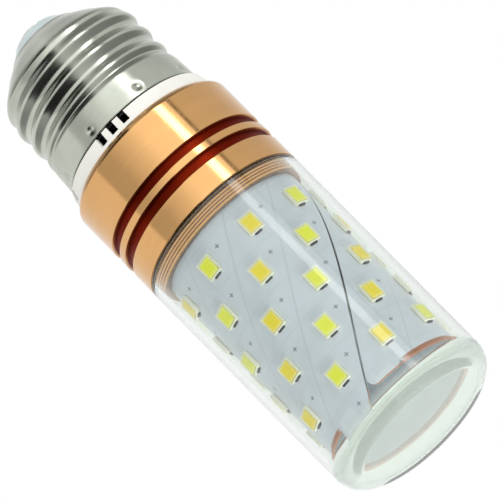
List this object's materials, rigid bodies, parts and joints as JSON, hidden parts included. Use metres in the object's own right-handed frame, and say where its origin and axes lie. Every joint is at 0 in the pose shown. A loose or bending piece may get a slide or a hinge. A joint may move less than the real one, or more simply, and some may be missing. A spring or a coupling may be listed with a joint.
{
  "type": "corn led bulb",
  "caption": "Slim corn LED bulb: screw cap, vented white collar, grooved gold sleeve and a rolled LED board in a clear flat-ended tube.",
  "frame": {"origin": "middle of the outer face of the cover's closed end, on which the bulb stands", "axes": "+Z along the bulb's axis from the closed end to the cap's contact; -Y is the side that faces the camera"},
  "size_m": [0.031, 0.031, 0.0935],
  "materials": {
    "clear_plastic": "clear, polished",
    "gold_metal": "anodised rose gold, satin polish",
    "white_plastic": "satin",
    "cap_metal": "bright nickel plate",
    "insulator": "translucent white",
    "contact_metal": "tinned",
    "white_board": "white solder resist",
    "led_package": "satin",
    "warm_phosphor": "satin",
    "cool_phosphor": "satin",
    "circuit_board": "satin",
    "capacitor_sleeve": "satin",
    "ferrite": "matt",
    "copper": "enamelled wire",
    "resistor_body": "satin",
    "black_plastic": "matt",
    "red_insulation": "satin",
    "black_insulation": "satin"
  },
  "bodies": {
    "root": {"clear_cover": "clear_plastic", "heat_sleeve": "gold_metal", "neck_housing": "white_plastic", "screw_shell": "cap_metal", "cap_insulator": "insulator", "centre_contact": "contact_metal", "led_board": "white_board", "led_row_1": "led_package", "led_row_2": "led_package", "led_row_3": "led_package", "led_row_4": "led_package", "led_row_5": "led_package", "led_row_6": "led_package", "led_row_7": "led_package", "led_row_8": "led_package", "led_row_9": "led_package", "phosphor_row_1": "warm_phosphor", "phosphor_row_2": "cool_phosphor", "phosphor_row_3": "warm_phosphor", "phosphor_row_4": "cool_phosphor", "phosphor_row_5": "warm_phosphor", "phosphor_row_6": "warm_phosphor", "phosphor_row_7": "cool_phosphor", "phosphor_row_8": "warm_phosphor", "phosphor_row_9": "cool_phosphor", "driver_board": "circuit_board", "smoothing_capacitor": "capacitor_sleeve", "choke_core": "ferrite", "choke_winding": "copper", "fuse_resistor": "resistor_body", "driver_chip": "black_plastic", "bridge_rectifier": "black_plastic", "live_wire": "red_insulation", "neutral_wire": "black_insulation", "led_lead_left": "red_insulation", "led_lead_right": "black_insulation"}
  },
  "joints": []
}
